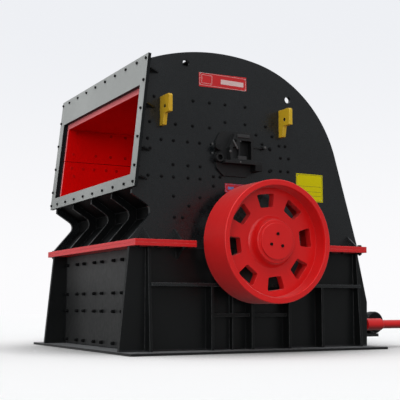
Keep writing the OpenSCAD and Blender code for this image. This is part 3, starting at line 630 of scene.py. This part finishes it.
# copies of a shape: point = place + matrix . point, with a random spin for each copy
def spread(shape, places, axis, spun=True):
    points, faces = shape
    places = np.array(places, float).reshape(-1, 3)
    axes = np.broadcast_to(np.array(axis, float), places.shape)
    spins = dice.uniform(0, 2 * math.pi, len(places)) * spun
    turns = np.array([aimed(a, s) for a, s in zip(axes, spins)])
    moved = np.einsum("nij,kj->nki", turns, points) + places[:, None, :]
    step = np.arange(len(places))[:, None, None] * len(points)
    return moved.reshape(-1, 3), (faces[None] + step).reshape(-1, 4)


# both sides of the machine: y and -y, with the faces of the copy turned over
def bothSides(shape):
    points, faces = shape
    return together(shape, (points * (1, -1, 1), faces[:, ::-1]))


# a piece from a shape: doubles merged, its edges over 35 degrees left sharp
def addPiece(name, shape, coat, body="housing"):
    points, faces = shape
    mesh = bpy.data.meshes.new(name)
    mesh.from_pydata(points.tolist(), [], faces.tolist())
    bm = bmesh.new()
    bm.from_mesh(mesh)
    bmesh.ops.remove_doubles(bm, verts=bm.verts, dist=0.00002)
    for face in bm.faces:
        face.smooth = True
    bm.to_mesh(mesh)
    bm.free()
    mesh.set_sharp_from_angle(angle=math.radians(35))
    mesh.materials.append(coats[coat])
    obj = bpy.data.objects.new(name, mesh)
    scene.collection.objects.link(obj)
    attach(obj, body)


# rod with rounded ends from a to b: profile r = R cos t, h = R sin t at each end, straight between
def roundBar(a, b, radius, sides=16):
    a, b = np.array(a, float), np.array(b, float)
    length = np.linalg.norm(b - a)
    t = np.linspace(-math.pi / 2, 0, 5)
    low = [(radius * math.cos(v), radius + radius * math.sin(v)) for v in t]
    high = [(r, length - h) for r, h in reversed(low)]
    return spread(turned([(0, 0)] + low[1:] + high[:-1] + [(0, length)], sides), [a], b - a, spun=False)


# block with its level edges taken off: rings of a rectangle, drawn in by the chamfer at both ends
def block(low, high, chamfer=0.003):
    (x0, y0, z0), (x1, y1, z1) = low, high
    c = chamfer
    rings = [(z0, None), (z0, c), (z0 + c, 0), (z1 - c, 0), (z1, c), (z1, None)]
    points = []
    for z, s in rings:
        if s is None:
            points += [((x0 + x1) / 2, (y0 + y1) / 2, z)] * 4
        else:
            points += [(x0 + s, y0 + s, z), (x1 - s, y0 + s, z), (x1 - s, y1 - s, z), (x0 + s, y1 - s, z)]
    return np.array(points, float), gridFaces(len(rings), 4, wrapCols=True)


# flat border: a bar's four corners carried round a rectangle in the plane of x and y, mitred at the corners
def border(width, height, bar, thick):
    signs = np.array([(-1, -1), (1, -1), (1, 1), (-1, 1)], float)
    outer = signs * (width / 2, height / 2)
    inner = signs * (width / 2 - bar, height / 2 - bar)
    rows = []
    for corners, z in ((outer, 0.0), (outer, thick), (inner, thick), (inner, 0.0)):
        rows.append(np.column_stack([corners, np.full(4, z)]))
    return np.concatenate(rows), gridFaces(4, 4, wrapRows=True, wrapCols=True)


# weld bead from a to b: a closed tube about the joint line, of radius r (1 + ripple sin(2 pi s / pitch))
bead = {"radius": 0.008, "pitch": 0.022, "ripple": 0.14, "sides": 6, "ringsPerPitch": 4}


def weld(a, b):
    a, b = np.array(a, float), np.array(b, float)
    length = np.linalg.norm(b - a)
    rings = max(3, int(round(length / bead["pitch"] * bead["ringsPerPitch"])))
    s = np.linspace(0, length, rings)
    r = bead["radius"] * (1 + bead["ripple"] * np.sin(2 * math.pi * s / bead["pitch"]))
    r[0] = r[-1] = 0
    return spread(turned(np.stack([r, s], 1), bead["sides"]), [a], b - a, spun=False)


# washer, hexagon nut and stud end, all from the nut's radius r
def nutShape(r):
    washer = turned([(0, -0.003), (1.28 * r, -0.003), (1.28 * r, 0.2 * r), (0, 0.2 * r)], 12)
    nut = turned([(0, 0), (1.08 * r, 0), (1.08 * r, 0.75 * r), (0.9 * r, 0.95 * r), (0, 0.95 * r)], 6)
    stud = turned([(0, 0), (0.52 * r, 0), (0.52 * r, 1.25 * r), (0.42 * r, 1.35 * r), (0, 1.35 * r)], 8)
    return together(washer, nut, stud)


# washer, nut and lock nut with the stud's end between and beyond them
def lockedNut(r):
    washer = turned([(0, -0.003), (1.25 * r, -0.003), (1.25 * r, 0.18 * r), (0, 0.18 * r)], 12)
    nuts = turned([(0, 0), (1.08 * r, 0), (1.08 * r, 0.95 * r), (0.95 * r, 1.0 * r), (1.08 * r, 1.05 * r),
                   (1.08 * r, 1.85 * r), (0.9 * r, 2.0 * r), (0, 2.0 * r)], 6)
    stud = turned([(0, 0), (0.56 * r, 0), (0.56 * r, 2.2 * r), (0.46 * r, 2.3 * r), (0, 2.3 * r)], 8)
    return together(washer, nuts, stud)


# hexagon head or nut without a washer
def plainHead(r):
    wide, tall = 1.1 * r, 1.22 * r
    return turned([(0, -0.002), (wide, -0.002), (wide, 1.05 * r), (0.92 * r, tall), (0, tall)], 6)


# hexagon head on a washer
def headShape(r):
    washer = turned([(0, -0.003), (1.28 * r, -0.003), (1.28 * r, 0.2 * r), (0, 0.2 * r)], 12)
    head = turned([(0, 0), (1.08 * r, 0), (1.08 * r, 0.65 * r), (0.9 * r, 0.85 * r), (0, 0.85 * r)], 6)
    return together(washer, head)


# round screw: a drum with a round hollow in its top
def screwShape(r, h):
    outside = [(0, -0.003), (r, -0.003), (r, h - 0.1 * r), (0.9 * r, h)]
    hollow = [(0.56 * r, h), (0.5 * r, h - 0.02 * r), (0.5 * r, 0.35 * h), (0, 0.35 * h)]
    return turned(outside + hollow, 18)


print("surfaces ready")

# nuts on the wear liners' bolts, in level rows: height, then the places along x
linerBolts = {
    "nut": 0.0165, "plateY": -1.395,
    "rows": {
        3.115: (-1.338, -0.800, -0.565, -0.340, -0.042), 2.887: (-0.340, -0.044, 0.266),
        2.795: (-1.396, -1.043, -0.806, -0.565), 2.765: (0.121, 0.366), 2.650: (0.212, 0.474, 0.568),
        2.588: (-1.421, -1.240, -1.070, -0.876, -0.707, 0.334), 2.490: (0.495, 0.621), 2.468: (-1.387,),
        2.315: (0.346, 0.493, 0.610), 2.290: (-1.075, -0.869, -0.700), 2.178: (-0.509, -0.415),
        2.135: (-1.411, -1.231, -1.068, -0.868, -0.700), 2.058: (-0.509,), 1.900: (-1.067, -0.700),
        1.788: (-0.854,), 1.640: (-1.053, -0.943),
    },
}
spots = np.array([(x, z) for z, row in linerBolts["rows"].items() for x in row])
spotX, spotZ = spots.T
outside = np.column_stack([spotX, np.full(len(spots), linerBolts["plateY"]), spotZ])
nutsNear = spread(nutShape(linerBolts["nut"]), outside, (0, -1, 0))
nutsFar = spread(nutShape(linerBolts["nut"]), outside * (1, -1, 1), (0, 1, 0))
addPiece("liner_nuts_near", nutsNear, "bolt_black")
addPiece("liner_nuts_far", nutsFar, "bolt_black")

# the same bolts end inside as flat plugs on the side liners, above the feed floor and the throat's slope
plugs = {
    "radius": 0.023, "face": 1.305, "top": 3.14, "rear": -0.36,
    "floors": ((2.40, -0.23, -1.50), (2.04, 0.514, -1.13)),  # height, slope and the x it is taken at
}
keep = (spotX < plugs["rear"]) & (spotZ < plugs["top"])
for height, rise, x in plugs["floors"]:
    keep &= spotZ > height + rise * (spotX - x)
inner = np.column_stack([spotX, np.full(len(spots), -plugs["face"]), spotZ])[keep]
r = plugs["radius"]
plug = turned([(0, -0.003), (r, -0.003), (r, 0.001), (0.85 * r, 0.003), (0, 0.0015)], 14)
addPiece("liner_plugs", bothSides(spread(plug, inner, (0, 1, 0))), "plug_red")

# a seam runs along each side liner
seam = {"fromX": -1.565, "toX": -0.335, "z": 2.680, "width": 0.007, "sunk": 0.003, "proud": 0.0012}
seamLow = (seam["fromX"], -plugs["face"] - seam["sunk"], seam["z"] - seam["width"] / 2)
seamHigh = (seam["toX"], -plugs["face"] + seam["proud"], seam["z"] + seam["width"] / 2)
addPiece("liner_seams", bothSides(block(seamLow, seamHigh, 0.0005)), "seam_dark")

# bolts through the lower walls; the rear wall has none at its ribs, its middle or low down
wallBolts = {
    "nut": 0.0205, "rowsZ": (1.143, 0.728, 0.495, 0.092), "front": -1.45, "rear": 1.60, "rearLowest": 0.6,
    "placesY": (-1.155, -0.755, -0.470, -0.070, 0.204, 0.600, 0.870, 1.270),
    "ribY": 0.656, "ribRoom": 0.06, "middleRoom": 0.05,
}
wallY, wallZ = [g.ravel() for g in np.meshgrid(wallBolts["placesY"], wallBolts["rowsZ"])]
frontSpots = np.column_stack([np.full(len(wallY), wallBolts["front"]), wallY, wallZ])
rearSpots = np.column_stack([np.full(len(wallY), wallBolts["rear"]), wallY, wallZ])
fromMiddle = np.abs(wallY)
rearKeep = np.abs(fromMiddle - wallBolts["ribY"]) > wallBolts["ribRoom"]
rearKeep &= (fromMiddle > wallBolts["middleRoom"]) & (wallZ > wallBolts["rearLowest"])
wallNut = lockedNut(wallBolts["nut"])
addPiece("front_wall_bolts", spread(wallNut, frontSpots, (-1, 0, 0)), "bolt_black")
addPiece("rear_wall_bolts", spread(wallNut, rearSpots[rearKeep], (1, 0, 0)), "bolt_black")

# bolts through the joint flanges: heads on top all round, nuts under the arms and the rear
jointBolts = {
    "head": 0.021, "rearNut": 0.8, "top": 1.35, "under": 1.27,
    "sideY": 1.525, "sideX": (-1.60, -1.36, -1.21, -0.97, 0.97, 1.17, 1.37),
    "frontX": -1.606, "frontY": (-1.24, -0.95, -0.56, -0.21, 0.15, 0.50, 0.85, 1.24),
    "rearX": 1.672, "rearY": (-1.24, -0.95, -0.48, -0.2, 0.2, 0.48, 0.95, 1.24),
}
armSpots = np.array([(x, -jointBolts["sideY"], jointBolts["top"]) for x in jointBolts["sideX"]])
frontRow = np.array([(jointBolts["frontX"], y, jointBolts["top"]) for y in jointBolts["frontY"]])
rearRow = np.array([(jointBolts["rearX"], y, jointBolts["top"]) for y in jointBolts["rearY"]])
headSize = jointBolts["head"]
heads = together(bothSides(spread(headShape(headSize), armSpots, (0, 0, 1))),
                 spread(headShape(headSize), np.concatenate([frontRow, rearRow]), (0, 0, 1)))
drop = (0, 0, jointBolts["under"] - jointBolts["top"])
nutsUnder = together(bothSides(spread(nutShape(headSize), armSpots + drop, (0, 0, -1))),
                     spread(nutShape(headSize * jointBolts["rearNut"]), rearRow + drop, (0, 0, -1)))
addPiece("joint_bolts", together(heads, nutsUnder), "bolt_black")

# one larger bolt close to the rear end of each arm
endBolt = {"head": 0.028, "x": 1.650, "y": 1.535}
endTop = spread(headShape(endBolt["head"]), [(endBolt["x"], -endBolt["y"], jointBolts["top"])], (0, 0, 1))
endUnder = spread(nutShape(endBolt["head"]), [(endBolt["x"], -endBolt["y"], jointBolts["under"])], (0, 0, -1))
addPiece("joint_end_bolts", bothSides(together(endTop, endUnder)), "bolt_black")

# bolts left in the feed flange: along its top and bottom and down each side, square to its tilted face
feedBolts = {
    "head": 0.0165, "top": (-1.485, 3.610), "tilt": 6, "thick": 0.040,
    "levelY": (0.176, 0.528, 0.880, 1.232), "ends": (0.060, 1.590),
    "edgeY": 1.500, "down": (0.060, 0.335, 0.687, 1.039, 1.391, 1.590),
}
levelY, levelDown = [g.ravel() for g in np.meshgrid(feedBolts["levelY"], feedBolts["ends"])]
boltY = np.concatenate([levelY, np.full(len(feedBolts["down"]), feedBolts["edgeY"])])
boltDown = np.concatenate([levelDown, feedBolts["down"]])
slope = math.radians(feedBolts["tilt"])
outward = np.array([-math.cos(slope), 0, math.sin(slope)])
topX, topZ = feedBolts["top"]
faceSpots = np.column_stack([topX - boltDown * math.sin(slope), -boltY, topZ - boltDown * math.cos(slope)])
r = feedBolts["head"]
shank = turned([(0, -feedBolts["thick"]), (0.85 * r, -feedBolts["thick"]), (0.85 * r, 0), (0, 0)], 12)
feedHeads = spread(together(plainHead(r), shank), faceSpots, outward)
feedNuts = spread(plainHead(r), faceSpots - feedBolts["thick"] * outward, -outward)
addPiece("feed_flange_bolts", bothSides(together(feedHeads, feedNuts)), "bolt_black")

# cover plates: rows of nuts a quarter in from each bend, square to the plate they stand on
cover = {
    "nut": 0.0185, "across": 1.18, "count": 9, "shares": (0.22, 0.78),
    "bends": ((-1.460, 3.467), (-0.686, 3.624), (0.028, 3.544),
              (0.906, 3.011), (1.257, 2.425), (1.560, 1.350)),
}
bends = np.array(cover["bends"])
runs = bends[1:] - bends[:-1]
normals = np.column_stack([-runs[:, 1], runs[:, 0]]) / np.linalg.norm(runs, axis=1)[:, None]
share = np.array(cover["shares"])
stops = (bends[:-1, None, :] + share[None, :, None] * runs[:, None, :]).reshape(-1, 2)
facing = np.repeat(normals, len(share), axis=0)
acrossY = np.linspace(-cover["across"], cover["across"], cover["count"])
stopRows = np.repeat(stops, len(acrossY), axis=0)
axisRows = np.repeat(facing, len(acrossY), axis=0)
coverSpots = np.column_stack([stopRows[:, 0], np.tile(acrossY, len(stops)), stopRows[:, 1]])
coverAxes = np.column_stack([axisRows[:, 0], np.zeros(len(axisRows)), axisRows[:, 1]])
addPiece("cover_nuts", spread(nutShape(cover["nut"]), coverSpots, coverAxes), "bolt_black")
print("nuts and bolts placed")

# weld beads on the side plates: by the ribs and shelves, up the lugs, along the joint flanges and the base
sideWelds = {
    "plate": -1.395, "foot": 0.040, "shelf": 0.840, "ribX": (-1.42, -0.60, -0.03, 0.52, 1.03, 1.657),
    "ribHalf": 0.018, "ribRoom": 0.02, "ribTop": 0.795, "ribTip": -1.535, "endRibs": (-1.4, 1.6),
    "lugX": (-1.26, 0.467), "lugThick": 0.05, "lugZ": (2.760, 3.110),
    "joints": ((-1.64, -0.86, 1.35), (0.86, 1.715, 1.35), (-1.64, -0.86, 1.27), (0.86, 1.69, 1.27),
               (-1.76, -1.44, 0.040), (1.70, 1.85, 0.040)),
}
plate, foot, shelf = sideWelds["plate"], sideWelds["foot"], sideWelds["shelf"]
ribX = sideWelds["ribX"]
seams = []
for x in ribX:
    for edge in (x - sideWelds["ribHalf"], x + sideWelds["ribHalf"]):
        if sideWelds["endRibs"][0] < x < sideWelds["endRibs"][1]:
            seams.append(((edge, plate, foot + 0.005), (edge, plate, sideWelds["ribTop"])))
        seams.append(((edge, plate - 0.005, foot), (edge, sideWelds["ribTip"], foot)))
for a, b in zip(ribX[:-1], ribX[1:]):
    for z in (foot, shelf):
        seams.append(((a + sideWelds["ribRoom"], plate, z), (b - sideWelds["ribRoom"], plate, z)))
lowLug, highLug = sideWelds["lugZ"]
for lug in sideWelds["lugX"]:
    for x in (lug, lug + sideWelds["lugThick"]):
        seams.append(((x, plate, lowLug), (x, plate, highLug)))
seams += [((a, plate, z), (b, plate, z)) for a, b, z in sideWelds["joints"]]
addPiece("side_welds", bothSides(together(*[weld(a, b) for a, b in seams])), "weld_black")

# weld beads across the lower walls and along the cover's bends and edges
wallWelds = {"front": -1.45, "rear": 1.60, "halfWidth": 1.34, "coverHalf": 1.342, "corner": 1.345,
             "foot": 0.040, "cornerZ": (0.05, 1.265), "jointZ": 1.27}
front, rear, half, corner = (wallWelds[key] for key in ("front", "rear", "halfWidth", "corner"))
lowCorner, highCorner = wallWelds["cornerZ"]
crossing = [((x, -half, wallWelds["foot"]), (x, half, wallWelds["foot"])) for x in (front, rear)]
crossing += [((x, y, lowCorner), (x, y, highCorner)) for x in (front, rear) for y in (-corner, corner)]
crossing.append(((front, -half, wallWelds["jointZ"]), (front, half, wallWelds["jointZ"])))
across = wallWelds["coverHalf"]
crossing += [((x, -across, z), (x, across, z)) for x, z in cover["bends"][1:-1]]
for y in (-corner, corner):
    for (x, z), (u, w) in zip(cover["bends"][:-1], cover["bends"][1:]):
        crossing.append(((x, y, z), (u, y, w)))
addPiece("wall_welds", together(*[weld(a, b) for a, b in crossing]), "weld_black")
print("welds laid")

# places round the shaft, on the plane at -y: (r cos a, -y, axisZ + r sin a), a going round from the first
def ringSpots(radius, first, count, axisZ, y):
    a = np.radians(first + 360 / count * np.arange(count))
    return np.column_stack([radius * np.cos(a), np.full(count, -y), axisZ + radius * np.sin(a)])


# screws on the flywheel hubs, and the bearings' bolts and grease nipples
hub = {"capY": 2.063, "ring": 0.091, "first": 84, "count": 3, "screw": 0.019, "height": 0.012, "axisZ": 1.34}
hubSpots = ringSpots(hub["ring"], hub["first"], hub["count"], hub["axisZ"], hub["capY"])
hubScrews = bothSides(spread(screwShape(hub["screw"], hub["height"]), hubSpots, (0, -1, 0)))
addPiece("hub_screws", hubScrews, "bolt_black", body="rotor")

housings = {"coverY": 1.570, "ring": 0.163, "first": 22.5, "count": 8, "screw": 0.012, "midY": 1.4725,
            "footX": 0.395, "footZ": 0.910, "capX": 0.345, "capZ": 1.400, "bolt": 0.027, "nippleZ": 1.63}
coverRing = (housings["ring"], housings["first"], housings["count"])
screwSpots = ringSpots(*coverRing, hub["axisZ"], housings["coverY"])
footSpots = [(s * housings["footX"], -housings["midY"], housings["footZ"]) for s in (-1, 1)]
capSpots = [(s * housings["capX"], -housings["midY"], housings["capZ"]) for s in (-1, 1)]
nipple = turned([(0, -0.002), (0.010, -0.002), (0.010, 0.008), (0.005, 0.012), (0.005, 0.018), (0.007, 0.022),
                 (0, 0.026)], 12)
fittings = together(spread(headShape(housings["screw"]), screwSpots, (0, -1, 0)),
                    spread(nutShape(housings["bolt"]), footSpots, (0, 0, 1)),
                    spread(headShape(housings["bolt"]), capSpots, (0, 0, 1)))
addPiece("bearing_bolts", bothSides(fittings), "bolt_steel")
nipples = bothSides(spread(nipple, [(0, -housings["midY"], housings["nippleZ"])], (0, 0, 1)))
addPiece("grease_nipples", nipples, "bright_steel")

# fittings on the adjusters: a lever, studs, a stop block and a bright bracket
adjuster = {
    "face": 1.525, "proud": 0.012, "lever": ((-0.306, 2.640), (-0.234, 2.526)), "leverRadius": 0.011,
    "bright": ((-0.336, 2.497, 0.013, 1.525), (-0.536, 2.590, 0.011, 1.420), (-0.537, 2.474, 0.010, 1.420),
               (-0.203, 2.366, 0.010, 1.545), (0.188, 2.321, 0.015, 1.395), (0.222, 2.598, 0.014, 1.449),
               (-0.190, 2.632, 0.008, 1.525)),
    "dark": ((0.324, 2.302, 0.018, 1.395), (0.327, 2.600, 0.018, 1.395), (-0.262, 2.640, 0.016, 1.525)),
    "block": ((-0.225, 2.395), (-0.105, 2.445)), "blockProud": 0.006, "blockBack": 1.430,
    "bracket": ((-0.240, 2.680), (-0.060, 2.722)), "bracketBack": 1.515,
}
face = -adjuster["face"]
out = face - adjuster["proud"]
(ax, az), (bx, bz) = adjuster["lever"]
lever = roundBar((ax, out, az), (bx, out, bz), adjuster["leverRadius"])
bright = [spread(headShape(r), [(x, -seat, z)], (0, -1, 0)) for x, z, r, seat in adjuster["bright"]]
dark = [spread(headShape(r), [(x, -seat, z)], (0, -1, 0)) for x, z, r, seat in adjuster["dark"]]
(lx, lz), (hx, hz) = adjuster["block"]
stop = block((lx, face - adjuster["blockProud"], lz), (hx, -adjuster["blockBack"], hz))
(lx, lz), (hx, hz) = adjuster["bracket"]
bracket = block((lx, out, lz), (hx, -adjuster["bracketBack"], hz), 0.004)
addPiece("adjuster_levers", bothSides(together(lever, *bright)), "worn_grey")
addPiece("adjuster_bolts", bothSides(together(*dark)), "bolt_black")
addPiece("adjuster_blocks", bothSides(together(stop, bracket)), "scuffed_black")

# slim pin resting low in each front lifting hole
liftPin = {"hole": (-0.8998, 3.5893), "radius": 0.020, "from": 1.455, "to": 1.285}
hx, hz = liftPin["hole"]
depth = liftPin["from"] - liftPin["to"]
r = liftPin["radius"]
pinShape = turned([(0, 0), (r, 0), (r, depth - 0.004), (r - 0.004, depth), (0, depth)], 20)
pins = bothSides(spread(pinShape, [(hx, -liftPin["to"], hz)], (0, -1, 0), spun=False))
addPiece("lifting_pins", pins, "bolt_black")
print("hubs, bearings and adjusters fitted")


# parts drawn flat in the plate's own plane, then stood up on the near side plate and tilted
def onPlate(shape, node, tilt):
    low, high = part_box(node)
    centre = np.array([(low.x + high.x) / 2, low.y, (low.z + high.z) / 2])
    points, faces = shape
    c, s = math.cos(math.radians(tilt)), math.sin(math.radians(tilt))
    x = points[:, 0] * c - points[:, 1] * s
    z = points[:, 0] * s + points[:, 1] * c
    return np.column_stack([x, -points[:, 2], z]) + centre, faces


# printed bar: a thin block about (x, z)
def flatField(x, z, width, height):
    return block((x - width / 2, z - height / 2, 0), (x + width / 2, z + height / 2, inkThick), 0.0003)


# four domed rivets at the corners of a rectangle
def rivets(width, height, r):
    dome = turned([(0, 0), (r, 0), (0.9 * r, 0.4 * r), (0.5 * r, 0.75 * r), (0, 0.85 * r)], 10)
    corners = [(sx * width / 2, sz * height / 2, 0) for sx in (-1, 1) for sz in (-1, 1)]
    return spread(dome, corners, (0, 0, 1), spun=False)


inkThick = 0.0008
signs = {
    "name_plate": {
        "tilt": 1, "size": (0.695, 0.180), "inset": 0.010, "bar": 0.004, "rivet": 0.007, "ink": "pale_ink",
        "fields": ((0.135, -0.004, 0.335, 0.062),), "frames": ((-0.235, 0.0, 0.150, 0.110),)},
    "small_plate": {
        "tilt": 0, "size": (0.340, 0.115), "inset": 0.008, "bar": 0.003, "rivet": 0.005, "ink": "blue_ink",
        "fields": ((-0.085, 0.0, 0.090, 0.036),), "frames": ()},
    "safety_plate": {
        "tilt": 0, "size": (0.425, 0.370), "inset": 0.010, "bar": 0.004, "rivet": 0.006, "ink": "dark_ink",
        "fields": ((0.0, 0.020, 0.370, 0.004), (0.0, -0.050, 0.370, 0.004), (0.0, -0.105, 0.370, 0.004)),
        "frames": ()},
}
for node, sign in signs.items():
    w, h = sign["size"]
    i = sign["inset"]
    drawn = [border(w - 2 * i, h - 2 * i, sign["bar"], inkThick)]
    drawn += [flatField(*f) for f in sign["fields"]]
    for x, z, fw, fh in sign["frames"]:
        points, faces = border(fw, fh, sign["bar"], inkThick)
        drawn.append((points + (x, z, 0), faces))
    addPiece(node + "_marks", onPlate(together(*drawn), node, -sign["tilt"]), sign["ink"])
    studs = rivets(w - 4.4 * i, h - 4.4 * i, sign["rivet"])  # 2.2 insets in from each edge
    addPiece(node + "_rivets", onPlate(studs, node, -sign["tilt"]), "bright_steel")
print("plates finished")
